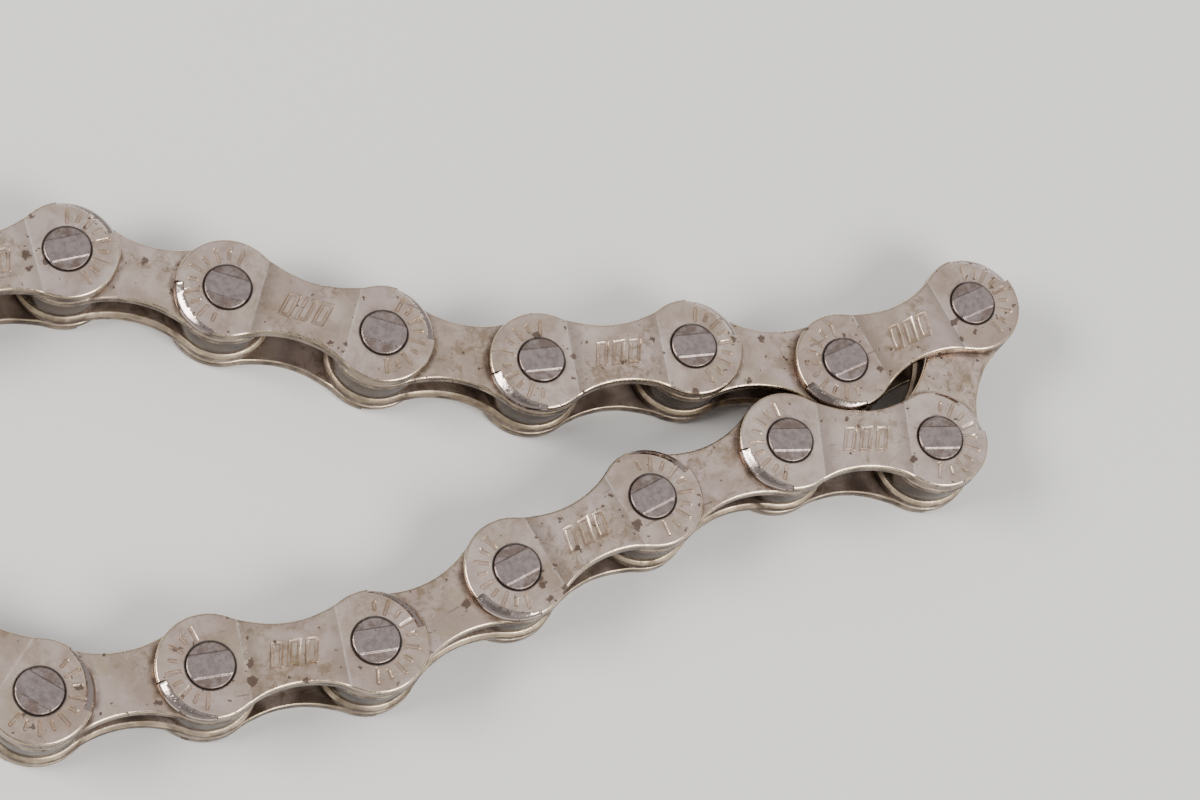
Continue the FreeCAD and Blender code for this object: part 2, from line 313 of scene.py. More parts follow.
def offset_polygon(points, distance):
    """Convex polygon moved outwards (or inwards, if negative) with mitred corners."""
    result = []
    for p, q, r in corners_of(points):
        n1 = Vector(((q - p).y, -(q - p).x)).normalized()
        n2 = Vector(((r - q).y, -(r - q).x)).normalized()
        m = (n1 + n2).normalized()
        result.append(tuple(q + m * (distance / m.dot(n1))))
    return result


def rounded(points, radius, steps=4):
    """Closed profile with its corners rounded, by a quadratic through each corner."""
    result = []
    for p, q, r in corners_of(points):
        a = q + (p - q).normalized() * radius
        b = q + (r - q).normalized() * radius
        for k in range(steps + 1):
            t = k / steps
            result.append(tuple(a * (1 - t) ** 2 + q * (2 * t * (1 - t)) + b * t ** 2))
    return result


class Shell:
    """Vertices and faces of one closed shell, in millimetres."""

    def __init__(self):
        self.points = []
        self.faces = []

    def ring(self, points, height):
        """Closed ring of vertices at one height, or at height(x, y)."""
        first = len(self.points)
        for x, y in points:
            self.points.append((x, y, height(x, y) if callable(height) else height))
        return list(range(first, len(self.points)))

    def bridge(self, low, high):
        """Quads between two rings of the same count."""
        count = len(low)
        for i in range(count):
            j = (i + 1) % count
            self.faces.append((low[i], low[j], high[j], high[i]))

    def stack(self, rings, down=False):
        """Quads between each ring and the next; down turns them to face the other way."""
        for a, b in zip(rings, rings[1:]):
            self.bridge(*((b, a) if down else (a, b)))

    def fill(self, loops, height, inside, grid, contours=(), lines=(), centre=0.0, flip=False):
        """Triangles between closed rings of this shell, through more contours, lines and a grid."""
        coords, index, edges = [], [], []

        def trace(points, closed):
            first, count = len(coords), len(points)
            coords.extend(Vector(p[:2]) for p in points)
            spans = count if closed else count - 1
            edges.extend((first + i, first + (i + 1) % count) for i in range(spans))

        for loop in loops:
            trace([self.points[k] for k in loop], True)
            index += loop
        for contour in contours:
            trace(contour, True)
        for line in lines:
            trace(line, False)
        rows = int(2 * END / grid) + 2
        columns = int((HALF + END) / grid) + 2
        for j in range(-rows, rows + 1):
            for i in range(-columns, columns + 1):
                x = centre + (i + 0.5 * (j % 2)) * grid
                y = j * grid * 0.866
                if inside(x, y, grid * 0.4):
                    coords.append(Vector((x, y)))
        index += [None] * (len(coords) - len(index))
        verts, _, tris, origin, _, _ = delaunay_2d_cdt(coords, edges, [], 0, 1e-5)
        ids = []
        for v, sources in zip(verts, origin):
            known = [index[s] for s in sources if index[s] is not None]
            if known:
                ids.append(known[0])
                continue
            ids.append(len(self.points))
            self.points.append((v.x, v.y, height(v.x, v.y)))
        for tri in tris:
            cx = sum(verts[k].x for k in tri) / 3
            cy = sum(verts[k].y for k in tri) / 3
            if inside(cx, cy, 0.0):
                face = tuple(ids[k] for k in tri)
                self.faces.append(face[::-1] if flip else face)

    def mesh(self, name, sharp=34):
        """Smooth-shaded mesh in metres, with edges sharper than this many degrees kept crisp."""
        mesh = bpy.data.meshes.new(name)
        mesh.from_pydata([(x * MM, y * MM, z * MM) for x, y, z in self.points], [], self.faces)
        bm = bmesh.new()
        bm.from_mesh(mesh)
        bmesh.ops.remove_doubles(bm, verts=bm.verts, dist=1e-7)
        bmesh.ops.recalc_face_normals(bm, faces=bm.faces)
        bm.to_mesh(mesh)
        bm.free()
        mesh.polygons.foreach_set("use_smooth", [True] * len(mesh.polygons))
        mesh.set_sharp_from_angle(angle=math.radians(sharp))
        return mesh


# ---------------------------------------------------------------- plates

def inside_plate(hole, inset):
    """Test for points between the outline pulled in by inset and the two holes, by a margin."""
    def test(x, y, margin):
        if abs(x) > HALF + END or abs(y) > END:
            return False
        if inset_of(x, y) < inset + margin:
            return False
        return math.hypot(abs(x) - HALF, y) > hole + margin
    return test


def crease_lines(inset, count=24):
    """Vertical lines across the plate where the joggle bends."""
    lines = []
    for k in range(CREASE_COLUMNS):
        x = CREASE + 0.03 - RAMP * k / (CREASE_COLUMNS - 1)
        top = half_height(x, inset)
        for side in (-1, 1):
            lines.append([(side * x, top * (2 * i / count - 1)) for i in range(count + 1)])
    return lines


def bevel_contours(inset, first=188, sweep=74, count=40):
    """Lines where each bevel begins, steps down and ends; first and sweep are in degrees."""
    runs = []
    for extra in (0.0, STEP, 0.3):
        run = []
        for i in range(count + 1):
            angle = math.radians(first + sweep * i / count)
            x = BEVEL_X + (BEVEL_R + extra) * math.cos(angle)
            y = BEVEL_Y + (BEVEL_R + extra) * math.sin(angle)
            bearing = math.atan2(y, x + HALF) % (2 * math.pi)
            if BEVEL_FROM + 0.02 < bearing < BEVEL_TO - 0.02 and inset_of(x, y) > inset:
                run.append((x, y))
        if len(run) > 2:
            runs.append(run)
    for angle in BEVEL_STEPS:
        start = BEVEL_R - BEVEL_SHIFT - 0.1 if angle < BEVEL_FROM + 0.5 else BEVEL_R - 0.5
        radii = [start + (END - inset - start) * i / 6 for i in range(7)]
        runs.append([(-HALF + r * math.cos(angle), r * math.sin(angle)) for r in radii])
    return runs + [[(-x, -y) for x, y in run] for run in runs]


def mark_contours():
    """Lines where each struck mark begins and where its edge reaches the bottom."""
    contours = []
    for a, b in STROKES:
        contours += [capsule(a, b, STROKE), capsule(a, b, STROKE - STROKE_EDGE)]
    for corners in FRAMES:
        for distance in (STROKE, STROKE - STROKE_EDGE, STROKE_EDGE - STROKE, -STROKE):
            contours.append(offset_polygon(corners, distance))
    return contours


def outer_plate_mesh():
    """Joggled outer plate: rolled edges, coined bevels, struck marks.  Z = 0 is its inner face."""
    shell = Shell()
    rows = outline_samples()

    def base(x, y):
        return STOCK + joggle(x) - bevel(x, y) - rolled(inset_of(x, y), EDGE_R)

    rings = [shell.ring(ring_points(rows, inset), base) for inset in EDGE_INSETS]
    shell.stack(rings)
    low_rings = [shell.ring(ring_points(rows, inset),
                            lambda x, y: joggle(x) + rolled(inset, INNER_EDGE_R))
                 for inset in INNER_EDGE_INSETS]
    shell.bridge(low_rings[0], rings[0])
    shell.stack(low_rings, down=True)
    tops, lows = [rings[-1]], [low_rings[-1]]
    for side in (-1, 1):
        edge = [shell.ring(circle(side * HALF, HOLE_R + extra), STOCK - drop)
                for extra, drop in HOLE_EDGE]
        shell.stack(edge, down=True)
        hole_low = shell.ring(circle(side * HALF, HOLE_R), 0.0)
        shell.bridge(edge[0], hole_low)
        tops.append(edge[-1])
        lows.append(hole_low)
    inset = EDGE_INSETS[-1] + LINE_MARGIN
    shell.fill(tops, lambda x, y: base(x, y) - engraving(x, y),
               inside_plate(HOLE_R + HOLE_BREAK, EDGE_INSETS[-1]), 0.3, mark_contours(),
               crease_lines(inset) + bevel_contours(inset))
    shell.fill(lows, lambda x, y: joggle(x), inside_plate(HOLE_R, INNER_EDGE_R), 0.6,
               lines=crease_lines(INNER_EDGE_R + LINE_MARGIN), flip=True)
    mesh = shell.mesh("outer_plate")
    paint_relief(mesh)
    return mesh


def paint_relief(mesh):
    """Attributes for the outer plate's material: how far marks are sunk, and where it is coined."""
    sunk = mesh.attributes.new("sunk", "FLOAT", "POINT")
    coined = mesh.attributes.new("coined", "FLOAT", "POINT")
    for vertex in mesh.vertices:
        x, y, z = (c / MM for c in vertex.co)
        if z > 0.3:
            coined.data[vertex.index].value = 1.0 if bevel(x, y) > 0.02 else 0.0
            if inset_of(x, y) > EDGE_R:
                sunk.data[vertex.index].value = engraving(x, y) / MARK_DEPTH


def inner_plate_mesh():
    """Flat inner plate with formed collars and tooth guides.  Z = 0 is its inner face."""
    shell = Shell()
    rows = outline_samples()
    rings = [shell.ring(ring_points(rows, inset), STOCK - rolled(inset, EDGE_R))
             for inset in EDGE_INSETS]
    shell.stack(rings)
    low_rings = [shell.ring(ring_points(rows, inset), lift) for inset, lift in GUIDE]
    shell.bridge(low_rings[0], rings[0])
    shell.stack(low_rings, down=True)
    tops, lows = [rings[-1]], [low_rings[-1]]
    for side in (-1, 1):
        hoops = [shell.ring(circle(side * HALF, radius), z) for radius, z in COLLAR_PROFILE]
        shell.stack(hoops)
        tops.append(hoops[0])
        lows.append(hoops[-1])
    shell.fill(tops, lambda x, y: STOCK, inside_plate(BORE_MOUTH, EDGE_INSETS[-1]), 0.5)
    shell.fill(lows, lambda x, y: 0.0, inside_plate(COLLAR_ROOT, GUIDE[-1][0]), 0.5, flip=True)
    return shell.mesh("inner_plate")


# ---------------------------------------------------------------- rollers and rivets

def roller_mesh():
    """Roller with rounded edges, turned about Z."""
    shell = Shell()
    half = ROLLER_LENGTH / 2
    profile = rounded([(ROLLER_BORE, -half), (ROLLER_R, -half),
                       (ROLLER_R, half), (ROLLER_BORE, half)], ROLLER_EDGE)
    hoops = [shell.ring(circle(0, radius, 128), z) for radius, z in profile]
    shell.stack(hoops + hoops[:1])
    return shell.mesh("roller", sharp=50)


def struck(y):
    """Depth of the two segments that staking leaves low, beside the raised band across."""
    past = abs(y) - BAND
    shape = smooth((past + STAKE_SLOPE / 2) / STAKE_SLOPE)
    return STAKE_DEPTH * shape * (0.8 + 0.2 * smooth(past / 0.5))


def staked_face(shell, cx, side, count=16):
    """One staked end of a rivet, upper for side 1 and lower for -1; returns its outermost ring."""
    def height(x, y):
        inset = RIVET_R - math.hypot(x - cx, y)
        return side * (RIVET_HALF - struck(y) - rolled(inset, RIVET_EDGE))

    def inside(x, y, margin):
        return math.hypot(x - cx, y) < RIVET_R - RIVET_INSETS[-1] - margin

    rings = [shell.ring(circle(cx, RIVET_R - inset), height) for inset in RIVET_INSETS]
    shell.stack(rings, down=side < 0)
    reach = RIVET_R - 0.17
    lines = []
    for offset in (-0.11, -STAKE_SLOPE / 2, -STAKE_SLOPE / 4, 0,
                   STAKE_SLOPE / 4, STAKE_SLOPE / 2, 0.11, 0.2):
        for sign in (-1, 1):
            y = sign * (BAND + offset)
            span = math.sqrt(reach ** 2 - y ** 2)
            lines.append([(cx + span * (2 * i / count - 1), y) for i in range(count + 1)])
    shell.fill([rings[-1]], height, inside, 0.2, lines=lines, centre=cx, flip=side < 0)
    return rings[0]


def rivets_mesh(name, places):
    """Rivets at these places along X, each staked at both ends."""
    shell = Shell()
    for cx in places:
        upper = staked_face(shell, cx, 1)
        lower = staked_face(shell, cx, -1)
        shell.bridge(lower, upper)
    return shell.mesh(name)


# ---------------------------------------------------------------- node trees

class Nodes:
    """Short way to write a node tree."""

    def __init__(self, name):
        self.material = bpy.data.materials.new(name)
        self.material.use_nodes = True
        self.tree = self.material.node_tree
        self.tree.nodes.clear()
        out = self.add("ShaderNodeOutputMaterial")
        self.shader = self.add("ShaderNodeBsdfPrincipled")
        self.link(self.shader.outputs["BSDF"], out.inputs["Surface"])
        self.coords = self.add("ShaderNodeTexCoord").outputs
        self.random = self.add("ShaderNodeObjectInfo").outputs["Random"]
        shift = self.add("ShaderNodeCombineXYZ")
        for axis, factor in (("X", 0.37), ("Y", 0.61), ("Z", 0.23)):
            self.link(self.times(self.random, factor), shift.inputs[axis])
        seeded = self.add("ShaderNodeVectorMath", operation="ADD")
        self.link(self.coords["Object"], seeded.inputs[0])
        self.link(shift.outputs[0], seeded.inputs[1])
        self.seeded = seeded.outputs[0]

    def add(self, kind, **settings):
        node = self.tree.nodes.new(kind)
        for key, value in settings.items():
            setattr(node, key, value)
        return node

    def link(self, out, into):
        self.tree.links.new(out, into)

    def put(self, value, socket):
        if isinstance(value, bpy.types.NodeSocket):
            self.link(value, socket)
        else:
            socket.default_value = value

    def split(self, name):
        """The three parts of the object coordinates or the normal."""
        node = self.add("ShaderNodeSeparateXYZ")
        self.link(self.coords[name], node.inputs[0])
        return node.outputs

    def maths(self, operation, a, b=0.0, clamp=False):
        node = self.add("ShaderNodeMath", operation=operation, use_clamp=clamp)
        self.put(a, node.inputs[0])
        self.put(b, node.inputs[1])
        return node.outputs[0]

    def times(self, a, b):
        return self.maths("MULTIPLY", a, b)

    def plus(self, a, b, clamp=False):
        return self.maths("ADD", a, b, clamp)

    def minus(self, a, b, clamp=False):
        return self.maths("SUBTRACT", a, b, clamp)

    def absolute(self, a):
        return self.maths("ABSOLUTE", a)

    def either(self, a, b):
        """The stronger of two masks."""
        return self.maths("MAXIMUM", a, b)

    def noise(self, scale, detail=3.0, rough=0.55, stretch=None, distortion=0.0):
        """Noise whose scale is in cells per millimetre."""
        vector = self.seeded
        if stretch:
            vector = self.mapped(stretch)
        node = self.add("ShaderNodeTexNoise")
        node.inputs["Scale"].default_value = scale / MM
        node.inputs["Detail"].default_value = detail
        node.inputs["Roughness"].default_value = rough
        node.inputs["Distortion"].default_value = distortion
        self.link(vector, node.inputs["Vector"])
        return node.outputs["Fac"]

    def mapped(self, scale, turn=0.0):
        """This piece's coordinates, turned about Z and scaled."""
        node = self.add("ShaderNodeMapping")
        node.inputs["Rotation"].default_value = (0, 0, turn)
        node.inputs["Scale"].default_value = scale
        self.link(self.seeded, node.inputs["Vector"])
        return node.outputs[0]

    def ramp(self, value, low, high, out_low=0.0, out_high=1.0):
        node = self.add("ShaderNodeMapRange", interpolation_type="SMOOTHSTEP")
        self.put(value, node.inputs["Value"])
        limits = ("From Min", low), ("From Max", high), ("To Min", out_low), ("To Max", out_high)
        for name, number in limits:
            node.inputs[name].default_value = number
        return node.outputs[0]

    def span(self, length, low, high, out_low=0.0, out_high=1.0):
        """Ramp over a length, with its ends in millimetres."""
        return self.ramp(length, low * MM, high * MM, out_low, out_high)

    def patches(self, scale, detail, low, high, out_low=0.0, out_high=1.0, **kind):
        """Soft-edged patches of noise."""
        return self.ramp(self.noise(scale, detail, **kind), low, high, out_low, out_high)

    def mix(self, amount, a, b):
        node = self.add("ShaderNodeMix", data_type="RGBA")
        self.put(amount, node.inputs["Factor"])
        for value, socket in ((a, node.inputs["A"]), (b, node.inputs["B"])):
            if isinstance(value, tuple):
                value = (*value, 1.0)
            self.put(value, socket)
        return node.outputs["Result"]

    def attribute(self, name):
        return self.add("ShaderNodeAttribute", attribute_name=name).outputs["Fac"]

    def bump(self, height, strength, distance, below=None):
        """Bump whose distance is in millimetres, on top of the one below."""
        node = self.add("ShaderNodeBump")
        node.inputs["Strength"].default_value = strength
        node.inputs["Distance"].default_value = distance * MM
        self.link(height, node.inputs["Height"])
        if below is not None:
            self.link(below, node.inputs["Normal"])
        return node.outputs["Normal"]

    def finish(self, colour, metallic, roughness, normal):
        for name, value in (("Base Color", colour), ("Metallic", metallic),
                            ("Roughness", roughness), ("Normal", normal)):
            self.put(value, self.shader.inputs[name])
        return self.material

    def scratches(self, scale, direction, low, high):
        """Mask of fine straight scratches along one direction in the plate's plane."""
        noise = self.add("ShaderNodeTexNoise")
        noise.inputs["Scale"].default_value = scale / MM
        noise.inputs["Detail"].default_value = 1.0
        self.link(self.mapped((0.04, 1.0, 1.0), direction), noise.inputs["Vector"])
        return self.ramp(noise.outputs["Fac"], low, high)

    def specks(self, per_mm, share, extra):
        """Mask of ragged blobs: a share of the cells hold one, and extra makes them larger."""
        warp = self.add("ShaderNodeTexNoise")
        warp.inputs["Scale"].default_value = 2.2 / MM
        warp.inputs["Detail"].default_value = 3.0
        self.link(self.seeded, warp.inputs["Vector"])
        move = self.add("ShaderNodeVectorMath", operation="MULTIPLY_ADD")
        self.link(warp.outputs["Color"], move.inputs[0])
        move.inputs[1].default_value = (0.9 * MM,) * 3
        self.link(self.seeded, move.inputs[2])
        cells = self.add("ShaderNodeTexVoronoi")
        cells.inputs["Scale"].default_value = per_mm / MM
        self.link(move.outputs[0], cells.inputs["Vector"])
        pick = self.add("ShaderNodeSeparateColor")
        self.link(cells.outputs["Color"], pick.inputs[0])
        blob = self.times(self.minus(pick.outputs[0], 1.0 - share), 0.37 / share)
        blob = self.minus(self.plus(blob, extra), cells.outputs["Distance"])
        return self.ramp(blob, 0.0, 0.11)


# ---------------------------------------------------------------- materials

class Plate(Nodes):
    """Satin nickel plate: stained, with brown dirt in specks, round the rivets and at the creases,
    and painted shade, highlights and a warm reflection on its sides, edges, hole rims and creases.

    Marked plates are the outer ones, with creases, coined bevels and struck marks; share is the
    share of cells that hold a speck.
    """

    def __init__(self, name, clean, stain, share, marked):
        super().__init__(name)
        self.clean, self.stain, self.share, self.marked = clean, stain, share, marked
        x, y, z = self.split("Object")
        up = self.split("Normal")[2]
        self.from_middle = self.absolute(x)
        flat = self.add("ShaderNodeCombineXYZ")
        self.link(self.minus(self.from_middle, HALF * MM), flat.inputs[0])
        self.link(y, flat.inputs[1])
        length = self.add("ShaderNodeVectorMath", operation="LENGTH")
        self.link(flat.outputs[0], length.inputs[0])
        self.from_rivet = length.outputs["Value"]
        self.tilt = self.absolute(up)
        self.side = self.ramp(self.tilt, 0.2, 0.6, 1.0, 0.0)
        self.under = self.ramp(up, -0.6, -0.3, 1.0, 0.0)
        self.torn = self.times(self.side, self.span(z, 0.34, 0.46, 1.0, 0.0))
        self.fine = self.noise(6.0, 3, 0.6)
        self.blotch = self.patches(0.6, 5, 0.46, 0.66, rough=0.68, distortion=0.7)
        rub = self.either(self.scratches(6.0, 0.5, 0.66, 0.72),
                          self.scratches(5.0, -1.1, 0.67, 0.72))
        self.rub = self.times(rub, self.patches(0.45, 2, 0.45, 0.62))
        if marked:
            self.sunk = self.attribute("sunk")
            self.coined = self.attribute("coined")
        self.worn_and_highlight = self.worn_and_highlit_edges()
        self.speck = self.dirt_specks()
        self.dirt = self.all_dirt()

    def worn_and_highlit_edges(self):
        """Rolled edges polished bare and given a painted golden highlight, apart from those in
        bevels and marks.
        """
        worn_and_highlight = self.times(self.ramp(self.tilt, 0.3, 0.55),
                          self.ramp(self.tilt, 0.88, 0.97, 1.0, 0.0))
        worn_and_highlight = self.times(worn_and_highlight, self.patches(0.5, 3, 0.38, 0.62, 0.3, 0.95))
        if self.marked:
            formed = self.either(self.coined, self.sunk)
            worn_and_highlight = self.times(worn_and_highlight, self.minus(1.0, formed, clamp=True))
        return worn_and_highlight

    def dirt_specks(self):
        """Large and small specks, thicker by the creases and rivets and thin on the underside."""
        by_crease = self.absolute(self.minus(self.from_middle, (CREASE - 0.2) * MM))
        by_crease = self.span(by_crease, 0.1, 1.0, 0.13 if self.marked else 0.0, 0.0)
        by_rivet = self.span(self.from_rivet, RIVET_R, RIVET_R + 0.8, 0.12, 0.0)
        speck = self.either(self.specks(0.75, self.share, self.either(by_crease, by_rivet)),
                            self.specks(2.0, self.share * 0.7, by_crease))
        return self.times(speck, self.minus(1.0, self.times(self.under, 0.85)))

    def all_dirt(self):
        """Specks, halo of the rivet, gouges, dirt in the marks, and on the inner plates a darker
        band just outside the outer plates' lobe edges.
        """
        halo = self.span(self.from_rivet, RIVET_R + 0.1, RIVET_R + 0.75, 0.55, 0.0)
        halo = self.times(halo, self.patches(0.9, 4, 0.42, 0.62))
        if self.marked:
            darkening = self.times(self.sunk, self.patches(0.7, 3, 0.38, 0.65, 0.04, 0.5))
        else:
            # Inner plates: darker just outside where the outer plates' lobe edges lie.
            darkening = self.times(self.span(self.from_rivet, 3.9, END),
                                 self.span(self.from_rivet, END + 0.05, END + 0.55, 1.0, 0.0))
            darkening = self.times(darkening, self.patches(0.8, 4, 0.36, 0.62, 0.1, 0.9))
        gouge = self.times(self.scratches(3.0, 0.95, 0.69, 0.73), self.patches(0.5, 2, 0.5, 0.6))
        dirt = self.either(self.either(self.speck, halo), darkening)
        return self.times(self.either(dirt, self.times(gouge, 0.7)), 0.9)

    def metal_colour(self):
        """Clean and stained nickel, two tints, blotches, tarnish and rubbed scratches."""
        tone = self.times(self.minus(self.random, 0.5), 0.7)
        cloudy = self.patches(0.3, 4, 0.32, 0.68, rough=0.6)
        colour = self.mix(self.plus(cloudy, tone, clamp=True), self.clean, self.stain)
        colour = self.mix(self.patches(0.25, 2, 0.45, 0.7, 0.0, 0.35), colour, PINKISH)
        yellow = self.patches(0.4, 4, 0.5, 0.7, 0.0, 0.35 if self.marked else 0.65)
        colour = self.mix(yellow, colour, YELLOWISH)
        colour = self.mix(self.times(self.blotch, 0.4), colour, tuple(0.66 * c for c in self.stain))
        tarnish = self.times(self.patches(1.3, 5, 0.45, 0.62, rough=0.72, distortion=0.5),
                             self.patches(0.22, 3, 0.42, 0.58))
        waist = self.span(self.from_middle, 2.6, 4.4, 0.65, 0.3 if self.marked else 0.65)
        colour = self.mix(self.times(tarnish, waist), colour, TARNISH)
        return self.mix(self.times(self.rub, 0.22), colour, RUBBED)

    def creased(self, colour):
        """Painted shade on the waist's side of each crease, and a painted highlight along the bend.
        """
        past = self.minus(CREASE * MM, self.from_middle)
        shade = self.times(self.span(past, 0.0, 0.15), self.span(past, 0.3, 1.7, 0.4, 0.0))
        colour = self.mix(shade, colour, CREASE_SHADE)
        line = self.times(self.span(self.absolute(past), 0.04, 0.12, 1.0, 0.0),
                          self.patches(0.9, 3, 0.35, 0.6, 0.05, 0.45))
        return self.mix(line, colour, CREASE_HIGHLIGHT)

    def build(self):
        colour = self.metal_colour()
        if self.marked:
            colour = self.creased(colour)
        # Cut sides: partly their own colour, partly a painted warm reflection.
        colour = self.mix(self.times(self.side, 0.75), colour, CUT_SIDE_AND_REFLECTION)
        if self.marked:
            colour = self.mix(self.times(self.coined, 0.6), colour, COINED)
        # Oil film on the cut sides and inner faces, darkened as painted shade between and under the
        # plates.
        film_and_shade = self.either(
            self.times(self.side, self.patches(0.6, 3, 0.35, 0.68, 0.6, 0.95)),
            self.times(self.under, self.patches(0.3, 1, 0.35, 0.65, 0.4, 0.8)))
        # Painted shade: a dark, non-metallic ring round each rivet hole, standing for the shadow in
        # the gap.
        ring = self.span(self.from_rivet, RIVET_R + 0.13, RIVET_R + 0.2, 0.95, 0.0)
        for amount, over in ((film_and_shade, OIL_AND_SHADE), (self.worn_and_highlight, WORN_AND_HIGHLIGHT), (self.dirt, DIRT), (ring, GAP_SHADE)):
            colour = self.mix(amount, colour, over)
        dirt_and_gap_shade = self.either(self.times(self.dirt, 0.85), ring)
        metallic = self.minus(1.0, dirt_and_gap_shade, clamp=True)
        return self.finish(colour, metallic, self.roughness(), self.relief())

    def roughness(self):
        rough = self.ramp(self.fine, 0.3, 0.75, 0.24, 0.38)
        rough = self.plus(rough, self.times(self.blotch, 0.12))
        rough = self.minus(rough, self.times(self.either(self.side, self.worn_and_highlight), 0.12))
        rough = self.plus(rough, self.times(self.either(self.torn, self.under), 0.16))
        if self.marked:
            rough = self.minus(rough, self.times(self.coined, 0.16), clamp=True)
        return self.plus(rough, self.times(self.dirt, 0.35), clamp=True)

    def relief(self):
        """Grain, slow waves, scratches, the torn half of the cut side and crusted specks."""
        normal = self.bump(self.fine, 0.25, 0.006)
        normal = self.bump(self.noise(0.7, 2), 0.5, 0.03, normal)
        normal = self.bump(self.times(self.rub, -1.0), 0.6, 0.006, normal)
        shear = self.times(self.torn, self.noise(5.0, 3, stretch=(1.0, 1.0, 0.25)))
        normal = self.bump(shear, 0.6, 0.03, normal)
        return self.bump(self.speck, 0.7, 0.02, normal)


def roller_material():
    """Running-polished roller, with fine rings round it under a brown film of old oil; steel and
    film are painted dark for the shade and dark reflections between the plates.
    """
    nodes = Nodes("roller_steel")
    rings = nodes.noise(9.0, 2, 0.5, stretch=(0.04, 0.04, 1.0))
    film_and_shade = nodes.patches(0.5, 4, 0.35, 0.7, rough=0.6)
    colour = nodes.mix(film_and_shade, ROLLER_STEEL_SHADED, ROLLER_FILM_SHADED)
    rough = nodes.plus(nodes.ramp(rings, 0.3, 0.7, 0.14, 0.26), nodes.times(film_and_shade, 0.1))
    metallic = nodes.minus(1.0, nodes.times(film_and_shade, 0.3))
    return nodes.finish(colour, metallic, rough, nodes.bump(rings, 0.35, 0.005))


def rivet_material():
    """Blue-grey hardened steel, rough where it was struck, dark dirt in the low segments."""
    nodes = Nodes("rivet_steel")
    low = nodes.span(nodes.absolute(nodes.split("Object")[1]), 0.9, 1.02)
    patchy = nodes.patches(1.1, 4, 0.35, 0.65, rough=0.65)
    colour = nodes.mix(nodes.patches(2.2, 4, 0.35, 0.7, rough=0.65), *RIVET_STEEL)
    darkening = nodes.times(low, nodes.ramp(patchy, 0, 1, 0.1, 0.65))
    colour = nodes.mix(darkening, colour, RIVET_DIRT)
    pits = nodes.patches(3.5, 4, 0.62, 0.7, rough=0.7)
    colour = nodes.mix(nodes.times(pits, 0.8), colour, RIVET_PIT)
    fine = nodes.noise(8.0, 3, 0.6)
    rough = nodes.plus(nodes.ramp(fine, 0.3, 0.75, 0.26, 0.42), nodes.times(low, 0.08))
    normal = nodes.bump(fine, 0.5, 0.01, nodes.bump(nodes.noise(2.0, 3), 0.6, 0.03))
    return nodes.finish(colour, nodes.minus(1.0, nodes.times(pits, 0.6)), rough, normal)


# ---------------------------------------------------------------- the chain

def pivots():
    """Every rivet axis in order along the chain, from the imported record, in metres."""
    mounts = {m["name"]: Vector(m["pos_m"]) for m in frame["record"]["mounts"]}
    hinges = [j for j in frame["joints"] if j["name"].startswith("link_hinge")]
    hinges.sort(key=lambda j: j["name"])
    middle = [Vector(j["pos_m"]) for j in hinges]
    return [mounts["inner_end_bore"], *middle, mounts["outer_end_holes"]]


def place(node, body, slot, mesh, material, matrix):
    """Show a mesh in place of a CAD node, riding on a body."""
    piece = bpy.data.objects.new(f"{node}_metal", mesh)
    bpy.context.scene.collection.objects.link(piece)
    if not mesh.materials:
        mesh.materials.append(material)
    piece.matrix_world = matrix
    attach(piece, body)
    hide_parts(node)


def turned(x, y, height, heading):
    """Place at a height in millimetres, turned about Z."""
    return Matrix.Translation((x, y, height * MM)) @ Matrix.Rotation(heading, 4, "Z")


def build_chain():
    """Inner and outer links in turn: each has two plates, and then two rollers or its rivets."""
    plates = {
        "inner": (inner_plate_mesh(), Plate("inner_nickel", *INNER_NICKEL, 0.38, False).build()),
        "outer": (outer_plate_mesh(), Plate("outer_nickel", *OUTER_NICKEL, 0.34, True).build()),
    }
    roller, roller_steel = roller_mesh(), roller_material()
    pair = rivets_mesh("rivet_pair", (-HALF, HALF))
    single = rivets_mesh("rivet_single", (-HALF,))
    rivet_steel = rivet_material()
    standoff = {"inner": INNER_OFF, "outer": OUTER_OFF}
    axes = pivots()
    for i, (a, b) in enumerate(zip(axes, axes[1:])):
        kind = ("inner", "outer")[i % 2]
        number = i // 2 + 1
        body = f"{kind}_link_{number:02d}"
        x, y = ((a + b) / 2).xy
        heading = math.atan2(b.y - a.y, b.x - a.x)
        for side, sign in (("upper", 1), ("lower", -1)):
            matrix = turned(x, y, RIVET_HALF + sign * standoff[kind], heading)
            if side == "lower":
                matrix = matrix @ Matrix.Rotation(math.pi, 4, "X")
            place(f"{kind}_plate_{number:02d}_{side}", body, f"{kind}_plate", *plates[kind], matrix)
        if kind == "outer":
            mesh = pair if i < len(axes) - 2 else single
            place(f"rivets_{number:02d}", body, "rivet", mesh, rivet_steel,
                  turned(x, y, RIVET_HALF, heading))
            continue
        for r, point in ((2 * number - 1, a), (2 * number, b)):
            place(f"roller_{r:02d}", f"roller_body_{r:02d}", "roller", roller, roller_steel,
                  turned(point.x, point.y, RIVET_HALF, ROLLER_TURN * r))


# ---------------------------------------------------------------- floor, light, camera

def floor(size=3.0):
    mesh = bpy.data.meshes.new("floor")
    corners = [(-size, -size, 0), (size, -size, 0), (size, size, 0), (-size, size, 0)]
    mesh.from_pydata(corners, [], [(0, 1, 2, 3)])
    nodes = Nodes("pale_floor")
    colour = nodes.mix(nodes.noise(0.02, 3), (0.86, 0.85, 0.835), (0.83, 0.82, 0.805))
    normal = nodes.bump(nodes.noise(1.5, 3), 0.15, 0.02)
    mesh.materials.append(nodes.finish(colour, 0.0, 0.75, normal))
    plane = bpy.data.objects.new("floor", mesh)
    bpy.context.scene.collection.objects.link(plane)


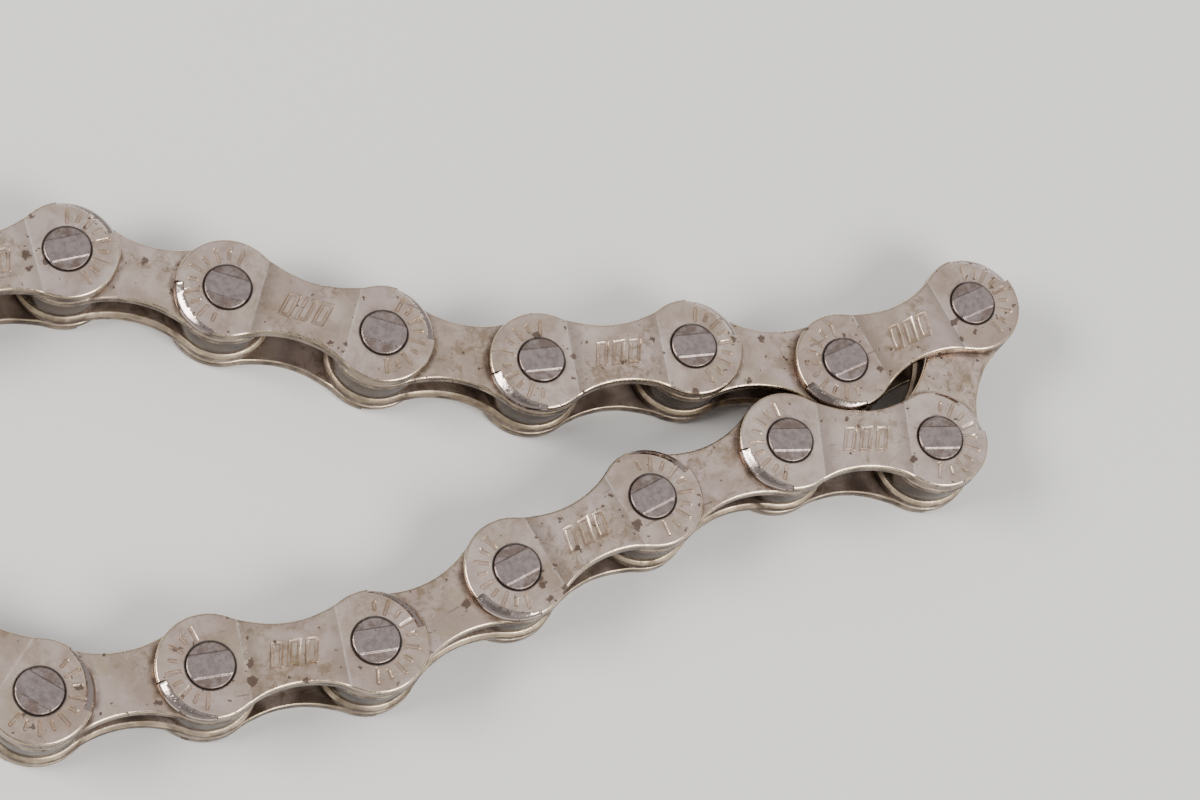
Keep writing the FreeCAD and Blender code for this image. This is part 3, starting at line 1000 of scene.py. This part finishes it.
def softbox(name, azimuth, elevation, size, power, colour, distance=0.9):
    """Area light aimed at the chain; azimuth is its bearing from the chain, 0 along +X."""
    light = bpy.data.lights.new(name, "AREA")
    light.shape = "RECTANGLE"
    light.size, light.size_y = size
    light.energy = power
    light.color = colour
    a, e = math.radians(azimuth), math.radians(elevation)
    at = Vector((math.cos(a) * math.cos(e), math.sin(a) * math.cos(e), math.sin(e))) * distance
    lamp = bpy.data.objects.new(name, light)
    lamp.location = at
    lamp.rotation_mode = "QUATERNION"
    lamp.rotation_quaternion = (-at).to_track_quat("-Z", "Y")
    bpy.context.scene.collection.objects.link(lamp)


def lights():
    """A window low on the left, a soft key on the right, and a dim studio with a dark side."""
    softbox("window", 170, 40, (0.5, 0.3), 7.0, (1.0, 0.98, 0.95))
    softbox("key", -58, 46, (0.4, 0.36), 6.2, (1.0, 0.985, 0.96))
    world = bpy.data.worlds.new("studio")
    bpy.context.scene.world = world
    world.use_nodes = True
    tree = world.node_tree
    sky = tree.nodes["Background"]
    coords = tree.nodes.new("ShaderNodeTexCoord")

    def glow(direction, low, high, amount, add_to=None):
        """Light that grows with how nearly a ray points in one direction."""
        dot = tree.nodes.new("ShaderNodeVectorMath")
        dot.operation = "DOT_PRODUCT"
        tree.links.new(coords.outputs["Generated"], dot.inputs[0])
        dot.inputs[1].default_value = Vector(direction).normalized()
        ramp = tree.nodes.new("ShaderNodeMapRange")
        ramp.interpolation_type = "SMOOTHSTEP"
        tree.links.new(dot.outputs["Value"], ramp.inputs["Value"])
        limits = ("From Min", low), ("From Max", high), ("To Min", 0.0), ("To Max", amount)
        for name, number in limits:
            ramp.inputs[name].default_value = number
        if add_to is None:
            return ramp.outputs[0]
        total = tree.nodes.new("ShaderNodeMath")
        tree.links.new(add_to, total.inputs[0])
        tree.links.new(ramp.outputs[0], total.inputs[1])
        return total.outputs[0]

    light = glow((0, 0, 1), -1.0, 0.6, 0.53)
    light = glow((0.42, 0.26, 0.87), 0.72, 0.98, 0.38, light)
    light = glow((-0.277, -0.328, 0.903), 0.8, 0.97, -0.3, light)
    tree.links.new(light, sky.inputs["Strength"])
    sky.inputs["Color"].default_value = (0.97, 0.98, 1.0, 1.0)


def camera():
    """The photographer's place over the near left side, looking steeply down, rolled clockwise."""
    azimuth, dip, roll = math.radians(49.8), math.radians(64.6), math.radians(30.9)
    data = bpy.data.cameras.new("camera")
    data.sensor_width = 36.0
    data.lens = 95.0
    data.clip_start = 0.01
    view = bpy.data.objects.new("camera", data)
    look = Vector((math.cos(dip) * math.cos(azimuth), math.cos(dip) * math.sin(azimuth),
                   -math.sin(dip)))
    view.location = (-0.05357, -0.08203, 0.23344)
    view.rotation_mode = "QUATERNION"
    turn = look.to_track_quat("-Z", "Y").to_matrix().to_4x4() @ Matrix.Rotation(roll, 4, "Z")
    view.rotation_quaternion = turn.to_quaternion()
    bpy.context.scene.collection.objects.link(view)
    bpy.context.scene.camera = view


camera()
floor()
lights()
build_chain()
